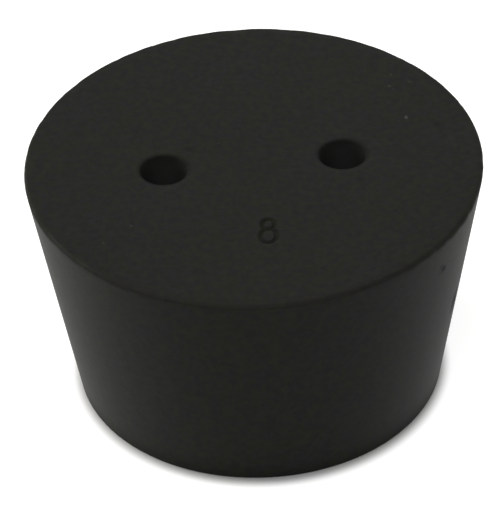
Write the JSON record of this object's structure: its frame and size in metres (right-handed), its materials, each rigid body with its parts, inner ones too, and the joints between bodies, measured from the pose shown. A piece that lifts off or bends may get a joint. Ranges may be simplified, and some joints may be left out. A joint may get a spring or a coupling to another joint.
{
  "type": "rubber stopper",
  "caption": "Tapered black rubber laboratory stopper with parallel through holes for tubing, standing on its small end.",
  "frame": {"origin": "centre of the small end face, on the taper's axis", "axes": "+Z along the taper's axis from the small end to the large end; the tube holes lie on X, one each side of the axis"},
  "size_m": [0.0408, 0.0408, 0.023],
  "materials": {
    "rubber": "matt black moulded rubber"
  },
  "bodies": {
    "root": {"stopper": "rubber"}
  },
  "joints": []
}
